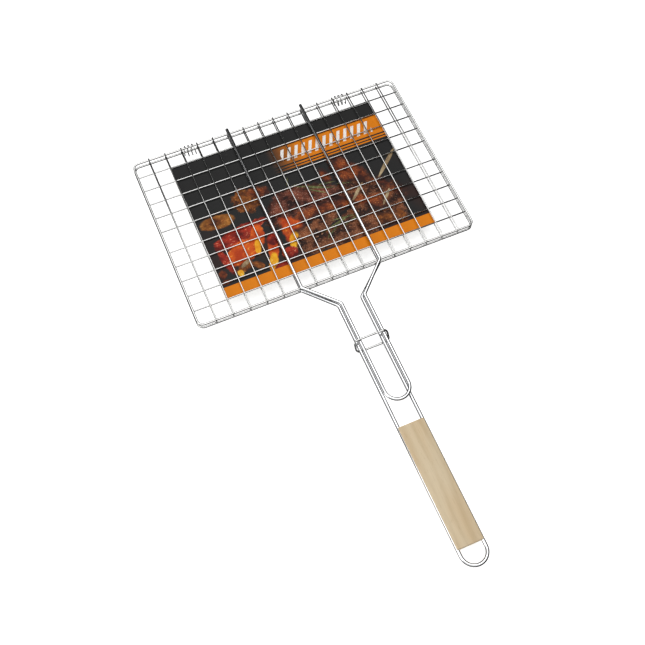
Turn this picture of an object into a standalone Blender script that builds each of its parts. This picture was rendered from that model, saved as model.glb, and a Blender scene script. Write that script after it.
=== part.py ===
"""Hinged wire grill basket: two grates, handle rods, lock ring, wooden grip and card insert.

Metres, +Z up. X runs across the basket, the handle points to -Y, the hinge edge is at +Y.
The origin is the middle of the bounding box in plan, at the height of the hinge coils' underside.
"""
import math

import bmesh
import bpy
from mathutils import Matrix, Vector

# ---- grate layout ---------------------------------------------------------------------------
SIDE_PITCH = 0.0202        # spacing of the long wires outside the heavy rods
MID_PITCH = 0.0193         # spacing of the long wires between the heavy rods
SIDE_CELLS = 6             # cells outside each heavy rod
MID_CELLS = 5              # cells between the heavy rods
ROW_FIRST = 0.0202         # hinge-side rim to the first cross wire
ROW_PITCH = 0.0200         # spacing inside each group of cross wires
ROW_MID_GAP = 0.0290       # the wider gap between the two groups
ROW_LAST = 0.0191          # last cross wire to the handle-side rim
ROWS_PER_GROUP = 5
LOWER_ROW_FIRST = 0.0152   # the lower grate's cross wires start nearer the hinge
LOWER_ROW_PITCH = 0.0202
RIM_CORNER_R = 0.0070

# ---- wire sizes -------------------------------------------------------------------------------
RIM_R = 0.0012
WIRE_R = 0.0007
ROD_R = 0.0019
RING_R = 0.0011
COIL_R = 0.0006
GAP = 0.00025              # left between pieces that touch or are welded on the real object
WELD_RISE = 0.0002         # the same gap under the thin long wires
THIN_DETAIL = 2            # bevel resolution of thin wires, the ring, and rims and rods
RING_DETAIL = 3
THICK_DETAIL = 4
BEND_STEPS = 4             # segments of a bend
CORNER_STEPS = 5           # segments of a rounded corner
LOOP_STEPS = 16            # segments of a loop's half-round end

# ---- heights ----------------------------------------------------------------------------------
COIL_DROP = 0.0019         # how far the coils reach below the lower rim
LOWER_RIM_Z = COIL_DROP + RIM_R
GRATE_RISE = 0.0073        # upper grate above the lower one
LONG_RISE = RIM_R + WELD_RISE + WIRE_R     # long wires lie over the rim
CROSS_RISE = LONG_RISE - 2 * WIRE_R - GAP  # cross wires lie just under the long ones
ROD_RISE = RIM_R + GAP + ROD_R          # heavy rods lie over the rim
HANDLE_DIP = 0.0031        # the upper rods come down towards the lower ones in the neck

# ---- handle -----------------------------------------------------------------------------------
LOOP_SHIFT = 0.0032        # the lower loop sits this far to the left of the upper one
LEG_HALF = 0.0142          # half the spacing of a loop's straight legs
NECK_START = 0.2295        # distances from the hinge-side rim
NECK_END = 0.2625
UPPER_U = 0.3765           # centre of the upper loop's closed end
LOWER_U = 0.5635           # centre of the lower loop's closed end
UPPER_TIP = 0.0050         # rod ends past the hinge-side rim
LOWER_TIP = 0.0024
BEND_R = 0.0050

# ---- wooden grip ------------------------------------------------------------------------------
GRIP_FROM = 0.4185
GRIP_TO = 0.5570
GRIP_WIDTH = 0.0298
GRIP_THICK = 0.0062
GRIP_EDGE_R = 0.0007
SHARP_ANGLE = math.radians(40)
GROOVE_R = ROD_R + GAP
EDGE_STEPS = 3             # segments of a softened edge
GROOVE_STEPS = 12          # segments of a groove

# ---- lock ring --------------------------------------------------------------------------------
RING_HALF_WIDTH = 0.0196
RING_TOP_FROM = 0.3120     # the ring leans: its top wire is nearer the basket
RING_LEAN = 0.0097
RING_END_R = 0.0045

# ---- hinge coils ------------------------------------------------------------------------------
COIL_TURNS = 3
COIL_PITCH = 0.0046
COIL_CELL = 3.5            # middle of the fourth cell from each side
COIL_OUT = 0.0025          # centreline distance from a rim
COIL_IN = 0.0072           # centreline distance on the grate side
COIL_IN_R = 0.0036
COIL_START = 0.0030        # where a turn begins, on the grate side of the rim

# ---- card insert ------------------------------------------------------------------------------
CARD_WIDTH = 0.2590
CARD_NEAR = 0.2085         # distances from the hinge-side rim
CARD_FAR = 0.0200
CARD_THICK = 0.0004
CARD_CLEAR = 0.0002        # above the lower heavy rods

# ---- derived ----------------------------------------------------------------------------------
HALF_WIDTH = SIDE_CELLS * SIDE_PITCH + MID_CELLS * MID_PITCH / 2
ROD_X = MID_CELLS * MID_PITCH / 2
DEPTH = ROW_FIRST + 2 * (ROWS_PER_GROUP - 1) * ROW_PITCH + ROW_MID_GAP + ROW_LAST
FRONT = UPPER_TIP
BACK = -(LOWER_U + LEG_HALF + ROD_R)
HINGE_Y = -(FRONT + BACK) / 2
UPPER_RIM_Z = LOWER_RIM_Z + GRATE_RISE
PIVOT = Vector((0.0, HINGE_Y, LOWER_RIM_Z))
LOWER_ROD_Z = LOWER_RIM_Z + ROD_RISE
HANDLE_UPPER_Z = UPPER_RIM_Z + ROD_RISE - HANDLE_DIP


def column_x():
    """Positions of all long members, left to right, the rim's sides first and last."""
    xs = [-HALF_WIDTH]
    for cell in range(2 * SIDE_CELLS + MID_CELLS):
        middle = SIDE_CELLS <= cell < SIDE_CELLS + MID_CELLS
        xs.append(xs[-1] + (MID_PITCH if middle else SIDE_PITCH))
    return xs


def row_y(first, pitch):
    """Positions of the cross wires, from the hinge side to the handle side."""
    ys = [HINGE_Y - first]
    for row in range(1, 2 * ROWS_PER_GROUP):
        ys.append(ys[-1] - (ROW_MID_GAP if row == ROWS_PER_GROUP else pitch))
    return ys


def rounded(points, radii, steps, closed):
    """Replace each inner corner of a polyline by an arc."""
    out = []
    count = len(points)
    for i, p in enumerate(points):
        if not closed and i in (0, count - 1):
            out.append(p.copy())
            continue
        a = (points[i - 1] - p).normalized()
        b = (points[(i + 1) % count] - p).normalized()
        angle = a.angle(b)
        reach = radii[i] / math.tan(angle / 2)
        centre = p + (a + b).normalized() * (radii[i] / math.sin(angle / 2))
        start = p + a * reach - centre
        finish = p + b * reach - centre
        axis = start.cross(finish).normalized()
        sweep = start.angle(finish)
        for k in range(steps + 1):
            out.append(centre + Matrix.Rotation(sweep * k / steps, 3, axis) @ start)
    return out


def chrome(name):
    mat = bpy.data.materials.new(name)
    mat.use_nodes = True
    shader = mat.node_tree.nodes["Principled BSDF"]
    shader.inputs["Base Color"].default_value = (0.78, 0.79, 0.80, 1.0)
    shader.inputs["Metallic"].default_value = 1.0
    shader.inputs["Roughness"].default_value = 0.12
    return mat


def dull(name, colour, roughness):
    mat = bpy.data.materials.new(name)
    mat.use_nodes = True
    shader = mat.node_tree.nodes["Principled BSDF"]
    shader.inputs["Base Color"].default_value = (*colour, 1.0)
    shader.inputs["Metallic"].default_value = 0.0
    shader.inputs["Roughness"].default_value = roughness
    return mat


def add_object(name, bm, origin, material):
    """Store a mesh as one object whose origin is the given point."""
    bmesh.ops.recalc_face_normals(bm, faces=bm.faces)
    bmesh.ops.translate(bm, verts=bm.verts, vec=-origin)
    mesh = bpy.data.meshes.new(name)
    bm.to_mesh(mesh)
    bm.free()
    obj = bpy.data.objects.new(name, mesh)
    obj.location = origin
    mesh.materials.append(material)
    mesh.shade_smooth()
    mesh.set_sharp_from_angle(angle=SHARP_ANGLE)
    bpy.context.scene.collection.objects.link(obj)


def wire(name, path, radius, detail, closed, origin):
    """A round wire along a path: a bevelled curve, with flat ends when it is open."""
    curve = bpy.data.curves.new(name, "CURVE")
    curve.dimensions = "3D"
    curve.bevel_depth = radius
    curve.bevel_resolution = detail
    curve.use_fill_caps = not closed
    spline = curve.splines.new("POLY")
    spline.points.add(len(path) - 1)
    for point, place in zip(spline.points, path):
        point.co = (*(place - origin), 1.0)
    spline.use_cyclic_u = closed
    spline.use_smooth = True
    curve.materials.append(chrome(name))
    obj = bpy.data.objects.new(name, curve)
    obj.location = origin
    bpy.context.scene.collection.objects.link(obj)


def build_rim(name, z, origin):
    corners = [Vector((-HALF_WIDTH, HINGE_Y, z)), Vector((HALF_WIDTH, HINGE_Y, z)),
               Vector((HALF_WIDTH, HINGE_Y - DEPTH, z)), Vector((-HALF_WIDTH, HINGE_Y - DEPTH, z))]
    wire(name, rounded(corners, [RIM_CORNER_R] * 4, CORNER_STEPS, True),
         RIM_R, THICK_DETAIL, True, origin)


def build_mesh_wires(prefix, z, rows, origin):
    """The thin long wires over the rim, and the cross wires whose ends meet its inner side."""
    xs = column_x()
    rods = (SIDE_CELLS, SIDE_CELLS + MID_CELLS)
    number = 0
    for i in range(1, len(xs) - 1):
        if i in rods:
            continue
        number += 1
        ends = [Vector((xs[i], HINGE_Y + RIM_R, z + LONG_RISE)),
                Vector((xs[i], HINGE_Y - DEPTH - RIM_R, z + LONG_RISE))]
        wire("%s_long_wire_%02d" % (prefix, number), ends, WIRE_R, THIN_DETAIL, False, origin)
    reach = HALF_WIDTH - RIM_R - GAP
    for number, y in enumerate(rows, 1):
        ends = [Vector((-reach, y, z + CROSS_RISE)), Vector((reach, y, z + CROSS_RISE))]
        wire("%s_cross_wire_%02d" % (prefix, number), ends, WIRE_R, THIN_DETAIL, False, origin)


def build_rod(name, leg_x, grate_z, leg_z, tip, u_centre, origin):
    """One rod bent into a loop: two heavy grate members, the neck, two legs and a round end."""
    def side(sign):
        return [Vector((sign * ROD_X, HINGE_Y + tip, grate_z)),
                Vector((sign * ROD_X, HINGE_Y - NECK_START, grate_z)),
                Vector((leg_x + sign * LEG_HALF, HINGE_Y - NECK_END, leg_z)),
                Vector((leg_x + sign * LEG_HALF, HINGE_Y - u_centre, leg_z))]
    radii = [0.0, BEND_R, BEND_R, 0.0]
    left = rounded(side(-1), radii, BEND_STEPS, False)
    right = rounded(side(1), radii, BEND_STEPS, False)
    end = []
    for k in range(1, LOOP_STEPS):
        a = math.pi + math.pi * k / LOOP_STEPS
        end.append(Vector((leg_x + LEG_HALF * math.cos(a),
                           HINGE_Y - u_centre + LEG_HALF * math.sin(a), leg_z)))
    wire(name, left + end + right[::-1], ROD_R, THICK_DETAIL, False, origin)


def build_coil(name, x_centre):
    """A short coil of thin wire round both rims; it turns with the upper grate."""
    low = LOWER_RIM_Z - COIL_OUT
    high = UPPER_RIM_Z + COIL_OUT
    y_out = HINGE_Y + COIL_OUT
    y_in = HINGE_Y - COIL_IN
    start = Vector((0, HINGE_Y - COIL_START, low))
    corners = [start, Vector((0, y_out, low)), Vector((0, y_out, high)),
               Vector((0, y_in, high)), Vector((0, y_in, low)), start]
    turn = rounded(corners, [0.0, COIL_OUT, COIL_OUT, COIL_IN_R, COIL_IN_R, 0.0], BEND_STEPS, False)
    lengths = [0.0]
    for a, b in zip(turn, turn[1:]):
        lengths.append(lengths[-1] + (b - a).length)
    first_x = x_centre - COIL_TURNS * COIL_PITCH / 2
    path = []
    for n in range(COIL_TURNS):
        for p, s in zip(turn[:-1], lengths):
            path.append(Vector((first_x + COIL_PITCH * (n + s / lengths[-1]), p.y, p.z)))
    path.append(Vector((first_x + COIL_PITCH * COIL_TURNS, start.y, start.z)))
    wire(name, path, COIL_R, THIN_DETAIL, False, PIVOT)


def build_ring():
    """The sliding ring round both pairs of rods, leaning towards the grip at the bottom."""
    top = HANDLE_UPPER_Z + ROD_R + GAP + RING_R
    bottom = LOWER_ROD_Z - ROD_R - GAP - RING_R
    y_top = HINGE_Y - RING_TOP_FROM
    y_bottom = y_top - RING_LEAN
    x = -LOOP_SHIFT / 2
    corners = [Vector((x - RING_HALF_WIDTH, y_top, top)), Vector((x + RING_HALF_WIDTH, y_top, top)),
               Vector((x + RING_HALF_WIDTH, y_bottom, bottom)),
               Vector((x - RING_HALF_WIDTH, y_bottom, bottom))]
    middle = (corners[0] + corners[2]) / 2
    wire("lock_ring", rounded(corners, [RING_END_R] * 4, CORNER_STEPS, True),
         RING_R, RING_DETAIL, True, middle)


def grip_outline():
    """Half-thickness profile of the grip with a round groove in each side edge."""
    w, t, r = GRIP_WIDTH / 2, GRIP_THICK / 2, GRIP_EDGE_R
    spread = math.acos((w - LEG_HALF) / GROOVE_R)
    edge = [math.pi / 2 * k / EDGE_STEPS for k in range(EDGE_STEPS + 1)]
    points = [(w - r + r * math.sin(a), t - r + r * math.cos(a)) for a in edge]
    for k in range(GROOVE_STEPS + 1):
        a = spread + (2 * math.pi - 2 * spread) * k / GROOVE_STEPS
        points.append((LEG_HALF + GROOVE_R * math.cos(a), GROOVE_R * math.sin(a)))
    points += [(w - r + r * math.cos(a), -t + r - r * math.sin(a)) for a in edge]
    return points + [(-x, z) for x, z in reversed(points)]


def build_grip():
    bm = bmesh.new()
    outline = grip_outline()
    centre = Vector((-LOOP_SHIFT, HINGE_Y - (GRIP_FROM + GRIP_TO) / 2, LOWER_ROD_Z))
    rings = []
    for distance in (GRIP_FROM, GRIP_TO):
        y = HINGE_Y - distance
        rings.append([bm.verts.new((centre.x + x, y, centre.z + z)) for x, z in outline])
    count = len(outline)
    for k in range(count):
        m = (k + 1) % count
        bm.faces.new((rings[0][k], rings[0][m], rings[1][m], rings[1][k]))
    bm.faces.new(rings[0])
    bm.faces.new(rings[1])
    add_object("wood_handle", bm, centre, dull("wood_handle", (0.61, 0.50, 0.32), 0.6))


def build_card():
    bm = bmesh.new()
    bmesh.ops.create_cube(bm, size=1.0)
    low = LOWER_ROD_Z + ROD_R + CARD_CLEAR
    centre = Vector((0.0, HINGE_Y - (CARD_NEAR + CARD_FAR) / 2, low + CARD_THICK / 2))
    bmesh.ops.scale(bm, verts=bm.verts, vec=(CARD_WIDTH, CARD_NEAR - CARD_FAR, CARD_THICK))
    bmesh.ops.translate(bm, verts=bm.verts, vec=centre)
    add_object("card_insert", bm, centre, dull("card_insert", (0.05, 0.05, 0.05), 0.5))


def main():
    for obj in list(bpy.data.objects):
        bpy.data.objects.remove(obj, do_unlink=True)
    fixed = Vector((0.0, 0.0, 0.0))
    build_rim("lower_rim", LOWER_RIM_Z, fixed)
    build_mesh_wires("lower", LOWER_RIM_Z, row_y(LOWER_ROW_FIRST, LOWER_ROW_PITCH), fixed)
    build_rim("upper_rim", UPPER_RIM_Z, PIVOT)
    build_mesh_wires("upper", UPPER_RIM_Z, row_y(ROW_FIRST, ROW_PITCH), PIVOT)
    build_rod("lower_handle_rod", -LOOP_SHIFT, LOWER_ROD_Z, LOWER_ROD_Z,
              LOWER_TIP, LOWER_U, fixed)
    build_rod("upper_handle_rod", 0.0, UPPER_RIM_Z + ROD_RISE, HANDLE_UPPER_Z,
              UPPER_TIP, UPPER_U, PIVOT)
    coil_x = HALF_WIDTH - COIL_CELL * SIDE_PITCH
    build_coil("hinge_coil_left", -coil_x)
    build_coil("hinge_coil_right", coil_x)
    build_ring()
    build_grip()
    build_card()


main()
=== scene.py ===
"""The finish of a hinged wire grill basket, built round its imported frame.

The frame gives every place and outer size. Each operator makes one piece, or one group of like
pieces, and the last lines build the whole basket on its stage. Lengths are in metres, +Z up,
X runs across the basket and the handle points to -Y.
"""
import math

import bpy
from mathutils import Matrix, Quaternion, Vector


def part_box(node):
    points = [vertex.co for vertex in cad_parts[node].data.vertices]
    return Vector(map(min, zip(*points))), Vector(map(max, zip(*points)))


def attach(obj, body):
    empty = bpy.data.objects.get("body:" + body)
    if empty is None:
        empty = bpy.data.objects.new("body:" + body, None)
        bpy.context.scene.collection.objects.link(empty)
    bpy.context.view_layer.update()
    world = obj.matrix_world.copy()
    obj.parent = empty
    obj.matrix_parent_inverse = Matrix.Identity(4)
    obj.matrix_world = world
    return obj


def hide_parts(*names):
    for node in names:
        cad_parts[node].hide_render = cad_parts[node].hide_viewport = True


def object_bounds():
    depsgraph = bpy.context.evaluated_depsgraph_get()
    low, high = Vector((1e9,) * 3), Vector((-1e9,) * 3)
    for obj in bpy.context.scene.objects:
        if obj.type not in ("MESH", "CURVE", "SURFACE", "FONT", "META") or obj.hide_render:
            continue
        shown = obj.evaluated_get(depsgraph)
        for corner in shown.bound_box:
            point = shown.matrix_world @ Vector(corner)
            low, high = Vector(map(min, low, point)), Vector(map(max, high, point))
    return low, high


bl_info = {
    "name": "Wire Grill Basket",
    "version": (1, 0, 0),
    "blender": (4, 5, 0),
    "location": "View3D > Sidebar > Grill Basket",
    "description": "Models the chromed wires, wooden grip and printed card of a grill basket",
    "category": "Add Mesh",
}

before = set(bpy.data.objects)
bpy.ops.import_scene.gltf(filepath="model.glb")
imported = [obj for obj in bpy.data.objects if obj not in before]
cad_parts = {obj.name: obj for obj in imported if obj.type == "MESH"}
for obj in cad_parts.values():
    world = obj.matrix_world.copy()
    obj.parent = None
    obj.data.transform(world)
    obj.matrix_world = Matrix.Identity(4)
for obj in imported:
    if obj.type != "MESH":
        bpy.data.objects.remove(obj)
CAD_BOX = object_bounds()

SIDES = ("lower", "upper")
BODIES = {"lower": "lower_grate", "upper": "upper_grate"}
LONG_WIRES = 14
CROSS_WIRES = 10
TINY = 1e-6                # a straight run shorter than this is left out
MERGE = 1e-6               # points nearer than this become one
SEAM_MERGE = 10 * MERGE    # the same where a mirrored half meets the other
RIM_ARC_STEPS = 8          # straight steps in one bend of a rim, and of a rod or the ring
ROD_ARC_STEPS = 10
WELD_FLATTEN = 0.55        # height of a weld against its width
RIM_WELD = 1.15            # width of a weld on a rim against one on a cross wire

# Stage: name, place, width and watts of each softbox; all point at the origin
SOFTBOXES = (("overhead_softbox", (0.1, 0.45, 1.9), 2.2, 27.0),
             ("left_softbox", (-1.8, -0.3, 0.9), 1.0, 8.0))
FLOOR_GLOW = 0.60                          # makes the floor as white as the background
FLOOR_IN_METAL = (0.05, 0.05, 0.05, 1.0)   # what the metal mirrors of it
WORLD_SEEN = (0.90, 0.90, 0.90, 1.0)       # the world past the floor's edge
WORLD_DARKEST, WORLD_BRIGHTEST = 0.02, 0.66


# ---- sizes and colours a user would change ---------------------------------------------------

class BasketWireSizes(bpy.types.PropertyGroup):
    """How the grates' wires are drawn and joined."""

    rim_corner: bpy.props.FloatProperty(
        name="Rim corner", description="Radius of the rim's corners, to the middle of the wire",
        default=0.007, unit="LENGTH")
    cut_edge: bpy.props.FloatProperty(
        name="Cut edge", description="How far the cut ends of the wires are rounded over",
        default=0.0003, unit="LENGTH")
    weld_spread: bpy.props.FloatProperty(
        name="Weld spread", description="Size of a weld across a crossing, in thin wire radii",
        default=1.12)
    thin_sides: bpy.props.IntProperty(
        name="Thin wire sides", description="Faces round a thin wire", default=14, min=8)
    thick_sides: bpy.props.IntProperty(
        name="Thick wire sides", description="Faces round a rim or a heavy rod",
        default=24, min=12)


class BasketHandleSizes(bpy.types.PropertyGroup):
    """The bends of the two looped rods and the lock ring."""

    neck_offset: bpy.props.FloatProperty(
        name="Neck offset", description="From the near rim's middle to where the rods turn inwards",
        default=0.0012, unit="LENGTH")
    neck_length: bpy.props.FloatProperty(
        name="Neck length", description="Length of the slanted neck along the handle",
        default=0.033, unit="LENGTH")
    leg_half: bpy.props.FloatProperty(
        name="Leg half spacing", description="Half the spacing of a loop's two legs",
        default=0.0142, unit="LENGTH")
    leg_step: bpy.props.FloatProperty(
        name="Leg step", description="Sideways step of the lower loop's legs",
        default=-0.0032, unit="LENGTH")
    bend: bpy.props.FloatProperty(
        name="Neck bend", description="Radius of the neck's bends", default=0.005, unit="LENGTH")
    ring_wire: bpy.props.FloatProperty(
        name="Ring wire", description="Radius of the lock ring's wire",
        default=0.0011, unit="LENGTH")
    ring_end: bpy.props.FloatProperty(
        name="Ring end", description="Radius of the lock ring's rounded ends",
        default=0.0045, unit="LENGTH")


class BasketCoilSizes(bpy.types.PropertyGroup):
    """The two coils that hinge the grates together."""

    wire: bpy.props.FloatProperty(
        name="Coil wire", description="Radius of the coil's wire", default=0.0006, unit="LENGTH")
    turns: bpy.props.IntProperty(name="Turns", description="Turns of each coil", default=3, min=1)
    outer_round: bpy.props.FloatProperty(
        name="Outer corners", description="Radius of a turn outside the rims",
        default=0.0025, unit="LENGTH")
    inner_round: bpy.props.FloatProperty(
        name="Inner corners", description="Radius of a turn on the grate side",
        default=0.0036, unit="LENGTH")
    start: bpy.props.FloatProperty(
        name="Start", description="Where a turn begins, from the rim towards the grate",
        default=0.0030, unit="LENGTH")


class BasketFinish(bpy.types.PropertyGroup):
    """Colours of the metal, the wood and the print."""

    chrome: bpy.props.FloatVectorProperty(
        name="Chrome", description="Colour of the bright plating", subtype="COLOR", size=3,
        default=(0.72, 0.72, 0.71))
    wood_light: bpy.props.FloatVectorProperty(
        name="Pale wood", description="Colour between the growth lines", subtype="COLOR", size=3,
        default=(0.680, 0.555, 0.370))
    wood_dark: bpy.props.FloatVectorProperty(
        name="Dark wood", description="Colour of the growth lines", subtype="COLOR", size=3,
        default=(0.520, 0.395, 0.235))
    card_ground: bpy.props.FloatVectorProperty(
        name="Card ground", description="Charcoal ground of the print", subtype="COLOR", size=3,
        default=(0.016, 0.016, 0.016))
    card_band: bpy.props.FloatVectorProperty(
        name="Card band", description="Orange of the printed bands", subtype="COLOR", size=3,
        default=(0.690, 0.200, 0.002))


class BasketStage(bpy.types.PropertyGroup):
    """Floor, light and camera."""

    floor_half: bpy.props.FloatProperty(
        name="Floor half width", description="Half the side of the pale floor",
        default=1.6, unit="LENGTH")
    floor_room: bpy.props.FloatProperty(
        name="Floor room", description="Room under the closed basket for the grate opened flat",
        default=0.0105, unit="LENGTH")
    aim: bpy.props.FloatVectorProperty(
        name="Aim", description="Point that the camera looks at", subtype="TRANSLATION", size=3,
        default=(-0.0433, 0.01025, 0.0120))
    distance: bpy.props.FloatProperty(
        name="Distance", description="From the aim to the camera", default=1.0291, unit="LENGTH")
    azimuth: bpy.props.FloatProperty(
        name="Azimuth", description="Turn of the view from straight along +Y",
        default=math.radians(-26.01), subtype="ANGLE")
    elevation: bpy.props.FloatProperty(
        name="Elevation", description="How far the camera looks down",
        default=math.radians(64.78), subtype="ANGLE")
    roll: bpy.props.FloatProperty(
        name="Roll", description="Turn of the camera about its own view",
        default=math.radians(2.94), subtype="ANGLE")
    lens: bpy.props.FloatProperty(
        name="Lens", description="Focal length on a 36 mm sensor, in millimetres", default=52.24)


# ---- modelling helpers -------------------------------------------------------------------------

def pick(obj):
    """Selects one object alone and makes it active."""
    bpy.ops.object.select_all(action="DESELECT")
    obj.select_set(True)
    bpy.context.view_layer.objects.active = obj


def edit(obj):
    """Enters edit mode on one object with nothing else selected."""
    pick(obj)
    bpy.ops.object.mode_set(mode="EDIT")
    bpy.ops.mesh.select_mode(type="VERT")


def settle():
    """Leaves edit mode and puts the active object's place into its mesh."""
    if bpy.context.mode != "OBJECT":
        bpy.ops.object.mode_set(mode="OBJECT")
    bpy.ops.object.transform_apply(location=True, rotation=True, scale=True)
    return bpy.context.view_layer.objects.active


def named(name):
    """Names the active object and its data."""
    obj = bpy.context.view_layer.objects.active
    obj.name = name
    obj.data.name = name
    return obj


def select_faces(obj, test):
    """In edit mode, selects the faces of obj that pass the test."""
    bpy.ops.mesh.select_mode(type="FACE")
    bpy.ops.mesh.select_all(action="DESELECT")
    bpy.ops.object.mode_set(mode="OBJECT")
    found = 0
    for face in obj.data.polygons:
        face.select = test(face)
        found += face.select
    bpy.ops.object.mode_set(mode="EDIT")
    if not found:
        raise RuntimeError("%s has no face where one was expected" % obj.name)


def start_wire(name, at, along, radius, sides, capped):
    """Adds a circle across a wire's first point and leaves it selected in edit mode."""
    bpy.ops.object.select_all(action="DESELECT")
    turn = along.to_track_quat("Z", "Y").to_euler()
    fill = "NGON" if capped else "NOTHING"
    bpy.ops.mesh.primitive_circle_add(vertices=sides, radius=radius, fill_type=fill,
                                      location=at, rotation=turn)
    named(name)
    obj = settle()
    edit(obj)
    bpy.ops.mesh.select_all(action="SELECT")
    return obj


def draw_out(step):
    """Draws the selected end on in a straight line."""
    if step.length > TINY:
        bpy.ops.mesh.extrude_region_move(TRANSFORM_OT_translate={"value": step})


def draw_along(points, radii, steps):
    """Draws the selected end along straight runs, with an arc at each inner point."""
    here = points[0]
    for before, corner, after, radius in zip(points, points[1:], points[2:], radii):
        back = (before - corner).normalized()
        ahead = (after - corner).normalized()
        half = back.angle(ahead) / 2
        centre = corner + (back + ahead).normalized() * (radius / math.sin(half))
        start = corner + back * (radius / math.tan(half))
        end = corner + ahead * (radius / math.tan(half))
        draw_out(start - here)
        axis = (start - centre).cross(end - centre).normalized()
        bpy.ops.mesh.spin(steps=steps, angle=-(start - centre).angle(end - centre),
                          center=centre, axis=axis, use_auto_merge=False)
        here = end
    draw_out(points[-1] - here)


def clean(obj):
    """Joins points that coincide and turns every face outwards."""
    edit(obj)
    bpy.ops.mesh.select_all(action="SELECT")
    bpy.ops.mesh.remove_doubles(threshold=MERGE)
    bpy.ops.mesh.normals_make_consistent(inside=False)
    bpy.ops.object.mode_set(mode="OBJECT")


def mirror(obj, about, across_y=True):
    """Mirrors obj across X, and across Y unless told not to, and joins the halves."""
    bpy.context.scene.cursor.location = about
    bpy.ops.object.origin_set(type="ORIGIN_CURSOR")
    modifier = obj.modifiers.new("Mirror", "MIRROR")
    modifier.use_axis = (True, across_y, False)
    modifier.merge_threshold = SEAM_MERGE
    bpy.ops.object.modifier_apply(modifier=modifier.name)
    clean(obj)
    settle()


def copy_of(obj, name, offset):
    """Copies a finished piece with its own mesh and puts its new place into the mesh."""
    pick(obj)
    bpy.ops.object.duplicate(linked=False)
    bpy.ops.transform.translate(value=offset)
    named(name)
    return settle()


def smooth(obj, angle=math.radians(35)):
    """Shades obj smooth, except across edges sharper than the angle."""
    pick(obj)
    bpy.ops.object.shade_smooth_by_angle(angle=angle)


def finish_piece(obj, node, body, material):
    """Gives a piece its material and its body, and hides the CAD node it stands for."""
    obj.data.materials.clear()
    obj.data.materials.append(material)
    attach(obj, body)
    if node:
        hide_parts(node)


def middle(node):
    low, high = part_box(node)
    return (low + high) / 2


def half_size(node):
    low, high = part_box(node)
    return (high - low) / 2


# ---- node helpers ------------------------------------------------------------------------------

def add(tree, kind, **settings):
    """Adds a shader node and sets its options."""
    node = tree.nodes.new(kind)
    for key, value in settings.items():
        setattr(node, key, value)
    return node


def feed(tree, socket, source):
    """Links a socket to another node's output, or gives it a plain value."""
    if isinstance(source, bpy.types.NodeSocket):
        tree.links.new(source, socket)
    else:
        socket.default_value = source


def maths(tree, operation, *sources, clamp=False):
    node = add(tree, "ShaderNodeMath", operation=operation, use_clamp=clamp)
    for socket, source in zip(node.inputs, sources):
        feed(tree, socket, source)
    return node.outputs[0]


def vector_maths(tree, operation, *sources):
    node = add(tree, "ShaderNodeVectorMath", operation=operation)
    for socket, source in zip(node.inputs, sources):
        feed(tree, socket, source)
    return node.outputs["Value" if operation == "LENGTH" else "Vector"]


def separate(tree, vector):
    """The X, Y and Z of a vector."""
    node = add(tree, "ShaderNodeSeparateXYZ")
    feed(tree, node.inputs[0], vector)
    return node.outputs


def spread(tree, value, low, high, to_low=0.0, to_high=1.0):
    """Maps low..high of a value to another range, smoothly and clamped."""
    node = add(tree, "ShaderNodeMapRange", interpolation_type="SMOOTHSTEP")
    for key, source in zip(("Value", "From Min", "From Max", "To Min", "To Max"),
                           (value, low, high, to_low, to_high)):
        feed(tree, node.inputs[key], source)
    return node.outputs["Result"]


def blend(tree, factor, under, over):
    """Mixes two colours."""
    node = add(tree, "ShaderNodeMix", data_type="RGBA")
    feed(tree, node.inputs["Factor"], factor)
    feed(tree, node.inputs[6], under)
    feed(tree, node.inputs[7], over)
    return node.outputs[2]


def mapped(tree, vector, place=(0, 0, 0), scale=(1, 1, 1)):
    node = add(tree, "ShaderNodeMapping")
    for key, source in zip(("Vector", "Location", "Scale"), (vector, place, scale)):
        feed(tree, node.inputs[key], source)
    return node.outputs[0]


def noise(tree, vector, scale, detail=3.0, rough=0.5, warp=0.0):
    node = add(tree, "ShaderNodeTexNoise")
    for key, source in zip(("Vector", "Scale", "Detail", "Roughness", "Distortion"),
                           (vector, scale, detail, rough, warp)):
        feed(tree, node.inputs[key], source)
    return node.outputs["Fac"]


def new_group(name, inputs, outputs):
    """Makes a node group with named sockets and returns it with its two end nodes."""
    group = bpy.data.node_groups.new(name, "ShaderNodeTree")
    for label, value in inputs:
        kind = {float: "NodeSocketFloat", tuple: "NodeSocketVector"}[type(value)]
        if isinstance(value, tuple) and len(value) == 4:
            kind = "NodeSocketColor"
        socket = group.interface.new_socket(label, in_out="INPUT", socket_type=kind)
        socket.default_value = value
    for label, kind in outputs:
        group.interface.new_socket(label, in_out="OUTPUT", socket_type=kind)
    return group, add(group, "NodeGroupInput").outputs, add(group, "NodeGroupOutput").inputs


def place_group(tree, name, **values):
    """Places a group; a keyword's underscores stand for the spaces of its socket."""
    node = add(tree, "ShaderNodeGroup", node_tree=bpy.data.node_groups[name])
    for key, source in values.items():
        feed(tree, node.inputs[key.replace("_", " ")], source)
    return node.outputs


def new_material(name, roughness, metallic):
    """A material with a plain Principled BSDF; returns it, its tree and its shader."""
    material = bpy.data.materials.new(name)
    material.use_nodes = True
    tree = material.node_tree
    shader = tree.nodes["Principled BSDF"]
    shader.inputs["Roughness"].default_value = roughness
    shader.inputs["Metallic"].default_value = metallic
    return material, tree, shader


def object_vector(tree):
    return add(tree, "ShaderNodeTexCoord").outputs["Object"]


def add_bump(tree, shader, height, strength, distance):
    bump = add(tree, "ShaderNodeBump")
    bump.inputs["Strength"].default_value = strength
    bump.inputs["Distance"].default_value = distance
    feed(tree, bump.inputs["Height"], height)
    feed(tree, shader.inputs["Normal"], bump.outputs["Normal"])


# ---- metal ---------------------------------------------------------------------------------------

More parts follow.
